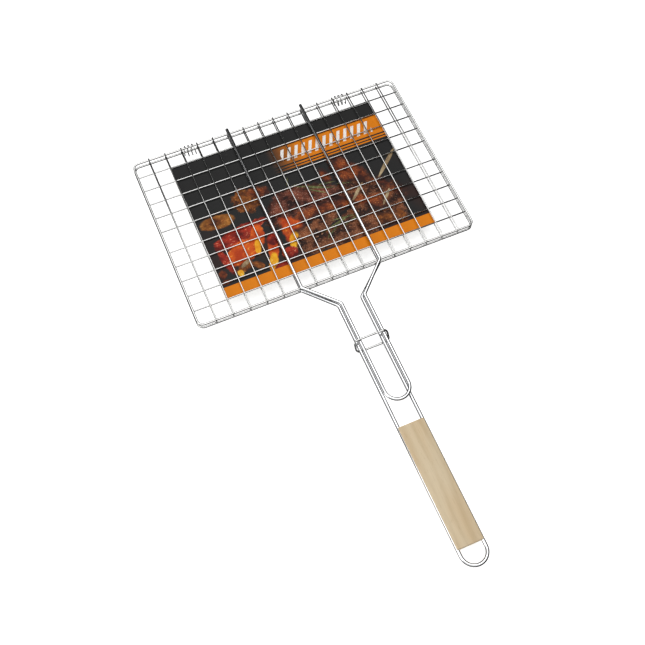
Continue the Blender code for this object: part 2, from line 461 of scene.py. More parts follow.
def build_drawn_metal_group():
    """Draw lines along a wire and faint clouding of the plating."""
    group, given, made = new_group(
        "drawn_metal",
        [("Vector", (0.0, 0.0, 0.0)), ("Lines", 1.0), ("Clouds", 1.0), ("Base", (0.8, 0.8, 0.8, 1.0))],
        [("Colour", "NodeSocketColor"), ("Roughness", "NodeSocketFloat"),
         ("Height", "NodeSocketFloat")])
    lines = noise(group, given["Vector"], 900.0, 2.0, 0.6)
    clouds = noise(group, given["Vector"], 60.0, 4.0, 0.6)
    dull = spread(group, clouds, 0.45, 0.75, 0.0, given["Clouds"])
    line_share = maths(group, "MULTIPLY", lines, given["Lines"])
    rough = maths(group, "MULTIPLY_ADD", dull, 0.10, 0.07)
    feed(group, made["Roughness"], maths(group, "MULTIPLY_ADD", line_share, 0.06, rough))
    feed(group, made["Height"], line_share)
    shade = blend(group, maths(group, "MULTIPLY", dull, 0.30), given["Base"],
                  (0.42, 0.41, 0.39, 1.0))
    feed(group, made["Colour"], shade)


def chrome_material(name, along):
    """Bright plated steel with draw lines along one axis."""
    if name in bpy.data.materials:
        return bpy.data.materials[name]
    if "drawn_metal" not in bpy.data.node_groups:
        build_drawn_metal_group()
    material, tree, shader = new_material(name, 0.1, 1.0)
    stretch = {"x": (0.04, 1.0, 1.0), "y": (1.0, 0.04, 1.0), "none": (1.0, 1.0, 1.0)}[along]
    colour = (*bpy.context.scene.basket_finish.chrome, 1.0)
    metal = place_group(tree, "drawn_metal", Vector=mapped(tree, object_vector(tree), scale=stretch),
                        Lines=1.0, Clouds=1.0, Base=colour)
    feed(tree, shader.inputs["Base Color"], metal["Colour"])
    feed(tree, shader.inputs["Roughness"], metal["Roughness"])
    add_bump(tree, shader, metal["Height"], strength=0.25, distance=0.00002)
    return material


# ---- wood ----------------------------------------------------------------------------------------

def build_wood_group():
    """Pale close-grained hardwood; the grain runs along Y."""
    group, given, made = new_group(
        "pale_hardwood",
        [("Vector", (0.0, 0.0, 0.0)), ("Light", (0.8, 0.8, 0.8, 1.0)),
         ("Dark", (0.5, 0.5, 0.5, 1.0))],
        [("Colour", "NodeSocketColor"), ("Roughness", "NodeSocketFloat"),
         ("Height", "NodeSocketFloat")])
    wander = noise(group, mapped(group, given["Vector"], scale=(30.0, 6.0, 30.0)), 1.0, 3.0, 0.5)
    parts = separate(group, given["Vector"])
    across = maths(group, "MULTIPLY_ADD", parts[2], 1.6, parts[0])
    bands = maths(group, "MULTIPLY_ADD", across, 300.0, maths(group, "MULTIPLY", wander, 7.0))
    rings = maths(group, "ABSOLUTE", maths(group, "SINE", bands))
    rings = maths(group, "POWER", rings, 3.0)
    fibres = noise(group, mapped(group, given["Vector"], scale=(1400.0, 36.0, 1400.0)), 1.0, 3.0, 0.6)
    flecks = noise(group, mapped(group, given["Vector"], scale=(900.0, 110.0, 900.0)), 1.0, 2.0, 0.5)
    flecks = spread(group, flecks, 0.62, 0.72)
    broad = noise(group, mapped(group, given["Vector"], scale=(60.0, 12.0, 60.0)), 1.0, 2.0, 0.5)
    dark = maths(group, "MULTIPLY", rings, spread(group, broad, 0.3, 0.7, 0.15, 0.75))
    dark = maths(group, "MULTIPLY_ADD", fibres, 0.55, maths(group, "MULTIPLY", dark, 0.55))
    dark = maths(group, "MULTIPLY_ADD", flecks, 0.30, dark)
    dark = maths(group, "SUBTRACT", dark, 0.18, clamp=True)
    colour = blend(group, maths(group, "MULTIPLY", dark, 1.4, clamp=True), given["Light"], given["Dark"])
    warm = blend(group, spread(group, broad, 0.35, 0.75, 0.0, 0.35), colour,
                 (0.62, 0.42, 0.21, 1.0))
    feed(group, made["Colour"], warm)
    feed(group, made["Roughness"], maths(group, "MULTIPLY_ADD", fibres, 0.25, 0.45))
    feed(group, made["Height"], maths(group, "SUBTRACT", fibres, maths(group, "MULTIPLY", flecks, 0.8)))


def wood_material():
    build_wood_group()
    looks = bpy.context.scene.basket_finish
    material, tree, shader = new_material("sanded_hardwood", 0.55, 0.0)
    centre = middle("wood_handle")
    vector = mapped(tree, object_vector(tree), place=tuple(-centre))
    wood = place_group(tree, "pale_hardwood", Vector=vector, Light=(*looks.wood_light, 1.0),
                       Dark=(*looks.wood_dark, 1.0))
    feed(tree, shader.inputs["Base Color"], wood["Colour"])
    feed(tree, shader.inputs["Roughness"], wood["Roughness"])
    add_bump(tree, shader, wood["Height"], strength=0.35, distance=0.00012)
    return material


# ---- printed card --------------------------------------------------------------------------------

MILLIMETRE = 0.001
BAND_DEPTH = 14.6          # orange band along the near edge, in millimetres
STRIP_LOW = 141.5          # broad orange strip near the far edge
STRIP_HIGH = 167.5
STRIP_FADE = (110.0, 162.0)
FINE_LINES = ((137.3, 139.5), (133.7, 135.6))
BARS_FROM, BARS_TO, BAR_PITCH = 128.0, 246.0, 9.2
BAR_SLANT, BAR_MARGIN = -0.45, 4.5
PRINT_EDGE = 0.25          # half the softness of a printed edge
INK_SPREAD = 0.02          # how far an ink shifts over the ink under it, so inks go on in turn

# Looks of the printed food: dark, middle and light colour, grain size, stretch, gloss
FOOD_LOOKS = {
    "seared": ((0.018, 0.005, 0.004), (0.200, 0.048, 0.022), (0.640, 0.400, 0.310), 0.17, 2.6, 0.60),
    "crust": ((0.018, 0.006, 0.004), (0.230, 0.068, 0.022), (0.620, 0.330, 0.190), 0.30, 1.6, 0.57),
    "ember": ((0.050, 0.010, 0.005), (0.300, 0.060, 0.012), (0.700, 0.260, 0.070), 0.20, 1.5, 0.62),
    "roast": ((0.055, 0.014, 0.004), (0.330, 0.095, 0.014), (0.640, 0.280, 0.060), 0.22, 1.2, 0.58),
    "slice": ((0.200, 0.060, 0.008), (0.480, 0.190, 0.030), (0.700, 0.390, 0.110), 0.12, 1.6, 0.62),
    "red": ((0.090, 0.004, 0.003), (0.450, 0.030, 0.010), (0.850, 0.330, 0.180), 0.09, 2.4, 0.66),
    "orange": ((0.400, 0.040, 0.004), (0.750, 0.130, 0.010), (0.900, 0.330, 0.040), 0.07, 1.8, 0.62),
    "yellow": ((0.700, 0.250, 0.006), (0.880, 0.520, 0.020), (0.950, 0.820, 0.250), 0.08, 2.0, 0.60),
    "herb": ((0.030, 0.030, 0.010), (0.170, 0.180, 0.055), (0.480, 0.470, 0.230), 0.30, 3.5, 0.55),
    "stick": ((0.190, 0.120, 0.060), (0.480, 0.370, 0.210), (0.800, 0.700, 0.500), 0.35, 5.0, 0.55),
    "shade": ((0.008, 0.006, 0.006), (0.020, 0.014, 0.012), (0.040, 0.022, 0.016), 0.10, 1.0, 0.70),
}

# Printed food from back to front: look, middle (across, up), half sizes, angle, ragged edge,
# soft edge. Millimetres from the card's near left corner.
FOOD = (
    ("ember", (190.0, 106.0), (11.0, 22.0), 14.0, 0.40, 0.50),
    ("ember", (205.0, 96.0), (8.0, 22.0), 22.0, 0.35, 0.45),
    ("ember", (166.0, 108.0), (5.0, 10.0), 10.0, 0.40, 0.60),
    ("shade", (200.0, 66.0), (42.0, 24.0), -8.0, 0.25, 0.40),
    ("ember", (206.0, 66.0), (34.0, 18.0), -20.0, 0.30, 0.45),
    ("crust", (196.0, 78.0), (30.0, 10.0), -22.0, 0.25, 0.20),
    ("crust", (226.0, 42.0), (10.0, 27.0), 8.0, 0.25, 0.25),
    ("roast", (66.0, 112.0), (15.0, 17.0), 10.0, 0.30, 0.12),
    ("ember", (83.0, 118.0), (13.0, 7.0), -15.0, 0.35, 0.45),
    ("slice", (25.0, 97.5), (20.5, 9.0), -3.0, 0.10, 0.12),
    ("roast", (24.0, 98.5), (14.0, 5.2), -3.0, 0.15, 0.60),
    ("ember", (112.0, 72.0), (30.0, 13.0), -6.0, 0.35, 0.30),
    ("seared", (134.0, 88.0), (42.0, 19.0), -12.0, 0.16, 0.08),
    ("seared", (103.0, 84.0), (21.0, 17.0), 30.0, 0.15, 0.10),
    ("ember", (150.0, 68.0), (30.0, 6.0), -4.0, 0.35, 0.35),
    ("orange", (104.0, 63.0), (14.0, 7.0), -40.0, 0.30, 0.35),
    ("red", (40.0, 71.0), (30.0, 11.0), 14.0, 0.18, 0.08),
    ("red", (24.0, 66.0), (14.0, 8.0), -12.0, 0.18, 0.10),
    ("red", (62.0, 78.0), (17.0, 6.0), 12.0, 0.20, 0.12),
    ("orange", (38.0, 49.0), (23.0, 14.0), 22.0, 0.15, 0.10),
    ("orange", (62.0, 64.0), (8.0, 14.0), -14.0, 0.18, 0.14),
    ("red", (17.0, 44.0), (5.0, 16.0), 12.0, 0.25, 0.20),
    ("yellow", (56.5, 49.0), (3.6, 10.0), -14.0, 0.12, 0.14),
    ("orange", (72.0, 40.0), (6.0, 17.0), -16.0, 0.16, 0.16),
    ("red", (76.0, 52.0), (7.0, 8.0), 0.0, 0.20, 0.15),
    ("yellow", (66.0, 24.0), (5.0, 12.0), -26.0, 0.12, 0.16),
    ("orange", (97.0, 54.0), (7.0, 14.0), -6.0, 0.25, 0.25),
    ("yellow", (99.0, 41.0), (6.0, 11.5), -24.0, 0.14, 0.12),
    ("red", (88.0, 28.0), (9.5, 8.0), 10.0, 0.08, 0.08),
    ("red", (73.0, 14.0), (10.0, 6.0), 0.0, 0.20, 0.15),
    ("roast", (34.0, 31.0), (11.0, 5.5), 20.0, 0.35, 0.15),
    ("stick", (36.0, 34.5), (7.0, 2.6), 28.0, 0.25, 0.20),
    ("roast", (49.0, 27.0), (7.5, 4.2), -48.0, 0.25, 0.15),
    ("yellow", (26.5, 25.0), (3.6, 4.2), 0.0, 0.20, 0.15),
    ("ember", (7.0, 30.0), (4.5, 5.5), 0.0, 0.30, 0.25),
    ("ember", (8.0, 20.0), (6.0, 3.0), 0.0, 0.30, 0.25),
    ("shade", (150.0, 51.0), (46.0, 6.0), -2.0, 0.35, 0.50),
    ("crust", (132.0, 48.0), (28.0, 9.0), 18.0, 0.22, 0.10),
    ("crust", (116.0, 33.0), (17.0, 18.0), 0.0, 0.22, 0.10),
    ("crust", (160.0, 27.0), (48.0, 14.0), -2.0, 0.20, 0.10),
    ("crust", (205.0, 30.0), (26.0, 12.0), -8.0, 0.25, 0.12),
    ("roast", (208.0, 29.0), (10.0, 7.0), -12.0, 0.35, 0.35),
    ("roast", (228.0, 25.0), (5.0, 9.0), 10.0, 0.30, 0.30),
    ("crust", (178.0, 48.0), (18.0, 8.0), 12.0, 0.25, 0.15),
    ("herb", (143.0, 102.0), (17.0, 1.1), -22.0, 0.05, 0.30),
    ("herb", (154.0, 96.0), (16.0, 1.2), -20.0, 0.05, 0.30),
    ("herb", (148.0, 93.5), (12.0, 1.0), -34.0, 0.05, 0.30),
    ("herb", (163.0, 99.0), (10.0, 0.9), -8.0, 0.05, 0.30),
    ("herb", (122.0, 109.5), (9.0, 0.8), 8.0, 0.05, 0.30),
    ("herb", (121.0, 118.0), (1.0, 6.0), -24.0, 0.05, 0.30),
    ("herb", (183.0, 91.0), (9.0, 0.9), -16.0, 0.05, 0.30),
    ("herb", (153.0, 43.0), (20.0, 1.3), 14.0, 0.05, 0.30),
    ("herb", (163.0, 47.5), (14.0, 1.0), -6.0, 0.05, 0.30),
    ("herb", (146.0, 36.0), (12.0, 1.1), 34.0, 0.05, 0.30),
    ("herb", (170.0, 41.0), (12.0, 1.0), 22.0, 0.05, 0.30),
    ("herb", (139.0, 33.5), (6.0, 0.9), 60.0, 0.05, 0.30),
    ("stick", (242.5, 99.0), (23.0, 2.3), 42.0, 0.06, 0.10),
    ("stick", (193.0, 74.0), (14.5, 1.9), 42.0, 0.08, 0.12),
    ("stick", (222.0, 55.0), (12.0, 1.7), 48.0, 0.08, 0.12),
    ("ember", (172.0, 62.0), (10.0, 3.2), 30.0, 0.30, 0.30),
)


def build_food_group():
    """One printed piece of food laid over what is beneath it."""
    group, given, made = new_group(
        "printed_food",
        [("Vector", (0.0, 0.0, 0.0)), ("Under", (0.0, 0.0, 0.0, 1.0)), ("Place", (0.0, 0.0, 0.0)),
         ("Angle", (0.0, 0.0, 0.0)), ("Half", (10.0, 10.0, 1.0)), ("Ragged", 0.2), ("Soft", 0.1),
         ("Grain", 0.2), ("Stretch", (1.0, 1.0, 1.0)), ("Gloss", 0.6), ("Glint", 0.85),
         ("Dark", (0.0, 0.0, 0.0, 1.0)), ("Middle", (0.1, 0.1, 0.1, 1.0)),
         ("Light", (0.5, 0.5, 0.5, 1.0))],
        [("Colour", "NodeSocketColor")])
    moved = vector_maths(group, "SUBTRACT", given["Vector"], given["Place"])
    turned = add(group, "ShaderNodeVectorRotate", rotation_type="EULER_XYZ", invert=True)
    feed(group, turned.inputs["Vector"], moved)
    feed(group, turned.inputs["Rotation"], given["Angle"])
    local = vector_maths(group, "DIVIDE", turned.outputs[0], given["Half"])
    stretched = vector_maths(group, "MULTIPLY", turned.outputs[0], given["Stretch"])
    radius = vector_maths(group, "LENGTH", local)
    ragged = maths(group, "SUBTRACT", noise(group, given["Vector"], 0.13, 3.0, 0.65), 0.5)
    reach = maths(group, "MULTIPLY_ADD", maths(group, "MULTIPLY", ragged, given["Ragged"]), 4.0,
                  radius)
    mask = spread(group, reach, maths(group, "ADD", 1.0, given["Soft"]),
                  maths(group, "SUBTRACT", 1.0, given["Soft"]))
    grain = noise(group, stretched, given["Grain"], 5.0, 0.68, 0.4)
    coarse = noise(group, given["Vector"], 0.075, 2.0, 0.5)
    lit = maths(group, "MULTIPLY_ADD", grain, 1.7, maths(group, "MULTIPLY_ADD", coarse, 2.6, -1.75))
    up = separate(group, local)[1]
    lit = maths(group, "MULTIPLY_ADD", up, 0.16, lit)
    lit = maths(group, "SUBTRACT", lit,
                maths(group, "MULTIPLY", maths(group, "POWER", radius, 4.0), 0.16),
                clamp=True)
    body = blend(group, lit, given["Dark"], given["Middle"])
    shine = spread(group, grain, given["Gloss"], maths(group, "ADD", given["Gloss"], 0.12))
    shine = maths(group, "MULTIPLY", shine, spread(group, up, -0.7, 0.5, 0.25, 1.0))
    body = blend(group, shine, body, given["Light"])
    glint = noise(group, stretched, maths(group, "MULTIPLY", given["Grain"], 2.6), 3.0, 0.6)
    glint = maths(group, "MULTIPLY", spread(group, glint, 0.56, 0.66), given["Glint"])
    glint = maths(group, "MULTIPLY", glint, spread(group, coarse, 0.42, 0.62))
    body = blend(group, glint, body, given["Light"])
    feed(group, made["Colour"], blend(group, mask, given["Under"], body))


def band_mask(tree, value, low, high, soft=PRINT_EDGE):
    """1 between two heights, with a crisp printed edge."""
    up = spread(tree, value, low - soft, low + soft)
    down = spread(tree, value, high - soft, high + soft, 1.0, 0.0)
    return maths(tree, "MULTIPLY", up, down)


def card_picture(tree, vector, across, up):
    """The printed face: charcoal ground, food, orange strip and bands."""
    looks = bpy.context.scene.basket_finish
    ground = (*looks.card_ground, 1.0)
    orange = (*looks.card_band, 1.0)
    warm = spread(tree, noise(tree, vector, 0.016, 2.0, 0.5), 0.42, 0.68, 0.0, 0.8)
    low_half = spread(tree, up, 20.0, 110.0, 1.0, 0.0)
    colour = blend(tree, maths(tree, "MULTIPLY", warm, low_half), ground, (0.050, 0.014, 0.008, 1.0))
    for look, place, half, angle, ragged, soft in FOOD:
        dark, mid, light, grain, stretch, gloss = FOOD_LOOKS[look]
        overprint = vector_maths(tree, "MULTIPLY_ADD", colour, (INK_SPREAD,) * 3, vector)
        long_way = (1.0, stretch, 1.0) if half[0] >= half[1] else (stretch, 1.0, 1.0)
        colour = place_group(
            tree, "printed_food", Vector=overprint, Under=colour, Place=(*place, 0.0),
            Angle=(0.0, 0.0, math.radians(angle)), Half=(*half, 1.0), Ragged=ragged, Soft=soft,
            Grain=grain, Stretch=long_way, Gloss=gloss, Dark=(*dark, 1.0), Middle=(*mid, 1.0),
            Light=(*light, 1.0))["Colour"]
    worn = noise(tree, vector, 0.55, 4.0, 0.7)
    fade = spread(tree, across, *STRIP_FADE)
    tone = blend(tree, spread(tree, worn, 0.35, 0.75, 0.0, 0.35), orange, (0.42, 0.115, 0.008, 1.0))
    strip = maths(tree, "MULTIPLY", band_mask(tree, up, STRIP_LOW, STRIP_HIGH), fade)
    colour = blend(tree, strip, colour, tone)
    for low, high in FINE_LINES:
        line = maths(tree, "MULTIPLY", band_mask(tree, up, low, high), fade)
        colour = blend(tree, line, colour, tone)
    slant = maths(tree, "MULTIPLY_ADD", up, BAR_SLANT, across)
    bars = maths(tree, "FRACT", maths(tree, "DIVIDE", slant, BAR_PITCH))
    bars = band_mask(tree, bars, 0.28, 0.72, 0.03)
    inside = band_mask(tree, up, STRIP_LOW + BAR_MARGIN, STRIP_HIGH - BAR_MARGIN)
    bars = maths(tree, "MULTIPLY", bars, inside)
    bars = maths(tree, "MULTIPLY", bars, band_mask(tree, across, BARS_FROM, BARS_TO))
    bars = maths(tree, "MULTIPLY", bars, spread(tree, worn, 0.66, 0.56))
    colour = blend(tree, bars, colour, (0.80, 0.80, 0.78, 1.0))
    near = spread(tree, up, BAND_DEPTH - PRINT_EDGE, BAND_DEPTH + PRINT_EDGE, 1.0, 0.0)
    return blend(tree, near, colour, orange)


def card_material():
    """Printed board: the picture on top, plain grey board on the back and cut edges."""
    build_food_group()
    material, tree, shader = new_material("printed_board", 0.45, 0.0)
    shader.inputs["Specular IOR Level"].default_value = 0.12
    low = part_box("card_insert")[0]
    corner = Vector((low.x, low.y, 0.0)) / MILLIMETRE
    vector = mapped(tree, object_vector(tree), place=tuple(-corner),
                    scale=(1 / MILLIMETRE,) * 3)
    across, up = separate(tree, vector)[:2]
    flat = add(tree, "ShaderNodeCombineXYZ")
    feed(tree, flat.inputs[0], across)
    feed(tree, flat.inputs[1], up)
    picture = card_picture(tree, flat.outputs[0], across, up)
    fibre = noise(tree, vector, 1.6, 4.0, 0.6)
    board = blend(tree, fibre, (0.42, 0.40, 0.36, 1.0), (0.58, 0.56, 0.51, 1.0))
    printed = add(tree, "ShaderNodeAttribute", attribute_name="printed").outputs["Fac"]
    feed(tree, shader.inputs["Base Color"], blend(tree, printed, board, picture))
    sheen = maths(tree, "MULTIPLY_ADD", fibre, 0.12, 0.34)
    feed(tree, shader.inputs["Roughness"], sheen)
    add_bump(tree, shader, fibre, strength=0.08, distance=0.00003)
    return material


# ---- operators -----------------------------------------------------------------------------------

class BASKET_OT_rims(bpy.types.Operator):
    """Draw the two rectangular rims"""

    bl_idname = "basket.rims"
    bl_label = "Rims"

    def execute(self, context):
        sizes = context.scene.basket_wire
        for side in SIDES:
            node = side + "_rim"
            centre, half = middle(node), half_size(node)
            radius = half.z
            x, y = half.x - radius, half.y - radius
            path = [centre + Vector((0, y, 0)), centre + Vector((x, y, 0)), centre + Vector((x, 0, 0))]
            obj = start_wire("chromed_" + node, path[0], Vector((1, 0, 0)), radius,
                             sizes.thick_sides, False)
            draw_along(path, [sizes.rim_corner], RIM_ARC_STEPS)
            bpy.ops.object.mode_set(mode="OBJECT")
            mirror(obj, centre)
            smooth(obj)
            finish_piece(obj, node, BODIES[side], chrome_material("chrome_rim", "none"))
        return {"FINISHED"}


def straight_wire(name, node, axis, sizes):
    """One straight wire with softened cut ends, at its node's place."""
    centre, half = middle(node), half_size(node)
    turn = (math.pi / 2, 0, 0) if axis == "y" else (0, math.pi / 2, 0)
    length = 2 * (half.y if axis == "y" else half.x)
    bpy.ops.object.select_all(action="DESELECT")
    bpy.ops.mesh.primitive_cylinder_add(vertices=sizes.thin_sides, radius=half.z, depth=length,
                                        location=centre, rotation=turn)
    named(name)
    obj = settle()
    edit(obj)
    select_faces(obj, lambda face: len(face.vertices) > 4)
    bpy.ops.mesh.bevel(offset=sizes.cut_edge, segments=2, affect="EDGES")
    bpy.ops.object.mode_set(mode="OBJECT")
    smooth(obj)
    return obj


class BASKET_OT_thin_wires(bpy.types.Operator):
    """Draw the thin long wires and cross wires of both grates"""

    bl_idname = "basket.thin_wires"
    bl_label = "Thin wires"

    def execute(self, context):
        sizes = context.scene.basket_wire
        for kind, count, axis in (("long", LONG_WIRES, "y"), ("cross", CROSS_WIRES, "x")):
            material = chrome_material("chrome_%s_wire" % kind, axis)
            first = "lower_%s_wire_01" % kind
            pattern = straight_wire("chromed_" + first, first, axis, sizes)
            for side in SIDES:
                for number in range(1, count + 1):
                    node = "%s_%s_wire_%02d" % (side, kind, number)
                    piece = pattern
                    if node != first:
                        piece = copy_of(pattern, "chromed_" + node, middle(node) - middle(first))
                    finish_piece(piece, node, BODIES[side], material)
        return {"FINISHED"}


class BASKET_OT_handle_rods(bpy.types.Operator):
    """Bend the two heavy rods: grate members, neck, legs and round end"""

    bl_idname = "basket.handle_rods"
    bl_label = "Handle rods"

    def execute(self, context):
        sizes = context.scene.basket_handle
        wires = context.scene.basket_wire
        radius = half_size("lower_handle_rod").z
        near_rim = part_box("lower_rim")[0].y + half_size("lower_rim").z
        neck_start = near_rim - sizes.neck_offset
        neck_end = neck_start - sizes.neck_length
        for side in SIDES:
            node = side + "_handle_rod"
            low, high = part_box(node)
            x = (low.x + high.x) / 2
            wide = high.x - radius - x
            grate_z, leg_z = high.z - radius, low.z + radius
            end_y = low.y + radius
            path = [Vector((x + wide, high.y, grate_z)), Vector((x + wide, neck_start, grate_z)),
                    Vector((x + sizes.leg_half, neck_end, leg_z)),
                    Vector((x + sizes.leg_half, end_y, leg_z)), Vector((x, end_y, leg_z))]
            obj = start_wire("chromed_" + node, path[0], Vector((0, -1, 0)), radius,
                             wires.thick_sides, True)
            draw_along(path, [sizes.bend, sizes.bend, sizes.leg_half - TINY], ROD_ARC_STEPS)
            bpy.ops.mesh.delete(type="ONLY_FACE")
            select_faces(obj, lambda face: len(face.vertices) > 4)
            bpy.ops.mesh.bevel(offset=2 * wires.cut_edge, segments=3, affect="EDGES")
            bpy.ops.object.mode_set(mode="OBJECT")
            mirror(obj, (x, 0, 0), across_y=False)
            if side == "lower":
                self.step_legs(obj, (neck_start + neck_end) / 2, sizes.leg_step)
            smooth(obj)
            finish_piece(obj, node, BODIES[side], chrome_material("chrome_rod", "y"))
        return {"FINISHED"}

    def step_legs(self, obj, below, step):
        """Shifts both legs sideways; the slanted parts of the neck lean to follow."""
        edit(obj)
        bpy.ops.mesh.select_all(action="DESELECT")
        bpy.ops.object.mode_set(mode="OBJECT")
        for vertex in obj.data.vertices:
            vertex.select = vertex.co.y < below
        bpy.ops.object.mode_set(mode="EDIT")
        bpy.ops.transform.translate(value=(step, 0, 0))
        bpy.ops.object.mode_set(mode="OBJECT")


class BASKET_OT_welds(bpy.types.Operator):
    """Set a small weld in every crossing of a grate"""

    bl_idname = "basket.welds"
    bl_label = "Welds"

    def execute(self, context):
        sizes = context.scene.basket_wire
        thin = half_size("lower_long_wire_01").x
        material = chrome_material("chrome_weld", "none")
        for side in SIDES:
            rods = []
            rod_low, rod_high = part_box(side + "_handle_rod")
            rod = half_size("lower_handle_rod").z
            for x in (rod_low.x + rod, rod_high.x - rod):
                rods.append(Vector((x, 0, rod_high.z - 2 * rod)))
            longs = [middle("%s_long_wire_%02d" % (side, n)) for n in range(1, LONG_WIRES + 1)]
            top = longs[0].z - thin
            crosses = [middle("%s_cross_wire_%02d" % (side, n)) for n in range(1, CROSS_WIRES + 1)]
            bottom = crosses[0].z + thin
            spots = [Vector((p.x, 0, (top + bottom) / 2)) for p in longs + rods]
            row = self.strip("row", spots, thin * sizes.weld_spread)
            rim, rim_half = middle(side + "_rim"), half_size(side + "_rim")
            reach = half_size("lower_cross_wire_01").x
            ends = [Vector((rim.x + s * reach, 0, crosses[0].z)) for s in (-1, 1)]
            end_row = self.strip("ends", ends, thin * sizes.weld_spread)
            on_rim = (top + rim.z + rim_half.z) / 2
            rim_row = self.strip("rim", [Vector((p.x, 0, on_rim)) for p in longs + rods],
                                 thin * sizes.weld_spread * RIM_WELD)
            parts = []
            for cross in crosses:
                parts.append(copy_of(row, "weld_row", Vector((0, cross.y, 0))))
                parts.append(copy_of(end_row, "weld_ends", Vector((0, cross.y, 0))))
            for sign in (-1, 1):
                y = rim.y + sign * (rim_half.y - rim_half.z)
                parts.append(copy_of(rim_row, "weld_rim", Vector((0, y, 0))))
            for pattern in (row, end_row, rim_row):
                bpy.data.objects.remove(pattern)
            obj = self.join(parts, side + "_welds")
            smooth(obj, math.radians(80))
            finish_piece(obj, None, BODIES[side], material)
        return {"FINISHED"}

    def strip(self, name, spots, wide):
        """A row of welds, each a flattened bead."""
        parts = []
        for spot in spots:
            bpy.ops.object.select_all(action="DESELECT")
            bpy.ops.mesh.primitive_uv_sphere_add(segments=8, ring_count=5, radius=wide, location=spot)
            bpy.ops.transform.resize(value=(1.0, 1.0, WELD_FLATTEN))
            parts.append(settle())
        return self.join(parts, name)

    def join(self, parts, name):
        bpy.ops.object.select_all(action="DESELECT")
        for part in parts:
            part.select_set(True)
        bpy.context.view_layer.objects.active = parts[0]
        bpy.ops.object.join()
        named(name)
        return settle()


class BASKET_OT_hinge_coils(bpy.types.Operator):
    """Wind the two coils that hinge the rims together"""

    bl_idname = "basket.hinge_coils"
    bl_label = "Hinge coils"

    def execute(self, context):
        sizes = context.scene.basket_coil
        first = "hinge_coil_left"
        obj = self.wind("chromed_" + first, first, sizes)
        material = chrome_material("chrome_coil", "none")
        second = "hinge_coil_right"
        other = copy_of(obj, "chromed_" + second, middle(second) - middle(first))
        finish_piece(obj, first, "upper_grate", material)
        finish_piece(other, second, "upper_grate", material)
        return {"FINISHED"}

    def turn_points(self, low, high, sizes):
        """The corners of one turn, seen along X, each arc as a run of points."""
        r = sizes.wire
        start = Vector((0, middle("lower_rim").y + half_size("lower_rim").y
                        - half_size("lower_rim").z - sizes.start, low.z + r))
        corners = [start, Vector((0, high.y - r, low.z + r)), Vector((0, high.y - r, high.z - r)),
                   Vector((0, low.y + r, high.z - r)), Vector((0, low.y + r, low.z + r)), start]
        radii = [sizes.outer_round, sizes.outer_round, sizes.inner_round, sizes.inner_round]
        points = [start]
        for before, corner, after, radius in zip(corners, corners[1:], corners[2:], radii):
            back, ahead = (before - corner).normalized(), (after - corner).normalized()
            centre = corner + (back + ahead) * radius
            for k in range(9):
                a = math.pi / 2 * k / 8
                points.append(centre - ahead * (radius * math.cos(a)) - back * (radius * math.sin(a)))
        return points

    def wind(self, name, node, sizes):
        """Draws the coil's line step by step and gives it its thickness."""
        low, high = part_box(node)
        turn = self.turn_points(low, high, sizes)
        lengths = [0.0]
        for a, b in zip(turn, turn[1:] + turn[:1]):
            lengths.append(lengths[-1] + (b - a).length)
        first_x, last_x = low.x + sizes.wire, high.x - sizes.wire
        pitch = (last_x - first_x) / sizes.turns
        path = []
        for n in range(sizes.turns):
            for point, s in zip(turn, lengths):
                path.append(Vector((first_x + pitch * (n + s / lengths[-1]), point.y, point.z)))
        path.append(Vector((last_x, turn[0].y, turn[0].z)))
        bpy.ops.object.select_all(action="DESELECT")
        bpy.ops.mesh.primitive_circle_add(vertices=3, radius=sizes.wire, location=path[0])
        named(name)
        obj = settle()
        edit(obj)
        bpy.ops.mesh.select_all(action="SELECT")
        bpy.ops.mesh.merge(type="CENTER")
        for here, there in zip(path, path[1:]):
            bpy.ops.mesh.extrude_vertices_move(TRANSFORM_OT_translate={"value": there - here})
        bpy.ops.object.mode_set(mode="OBJECT")
        bpy.ops.object.convert(target="CURVE")
        curve = bpy.context.object.data
        curve.bevel_depth = sizes.wire
        curve.bevel_resolution = 4
        curve.use_fill_caps = True
        bpy.ops.object.convert(target="MESH")
        obj = bpy.context.object
        clean(obj)
        smooth(obj)
        return obj


class BASKET_OT_lock_ring(bpy.types.Operator):
    """Bend the leaning ring that slides on the handle"""

    bl_idname = "basket.lock_ring"
    bl_label = "Lock ring"

    def execute(self, context):
        sizes = context.scene.basket_handle
        radius = sizes.ring_wire
        low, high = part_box("lock_ring")
        centre = (low + high) / 2
        x = (high.x - low.x) / 2 - radius
        rise = Vector((0, (high.y - low.y) / 2 - radius, (high.z - low.z) / 2 - radius))
        lean = rise.angle(Vector((0, 1, 0)))
        y = rise.length
        path = [Vector((0, y, 0)), Vector((x, y, 0)), Vector((x, 0, 0))]
        obj = start_wire("chromed_lock_ring", path[0], Vector((1, 0, 0)), radius,
                         context.scene.basket_wire.thick_sides, False)
        draw_along(path, [min(sizes.ring_end, y - TINY)], ROD_ARC_STEPS)
        bpy.ops.object.mode_set(mode="OBJECT")
        mirror(obj, (0, 0, 0))
        obj.rotation_euler = (lean, 0, 0)
        obj.location = centre
        settle()
        smooth(obj)
        finish_piece(obj, "lock_ring", "lock_ring", chrome_material("chrome_ring", "x"))
        return {"FINISHED"}


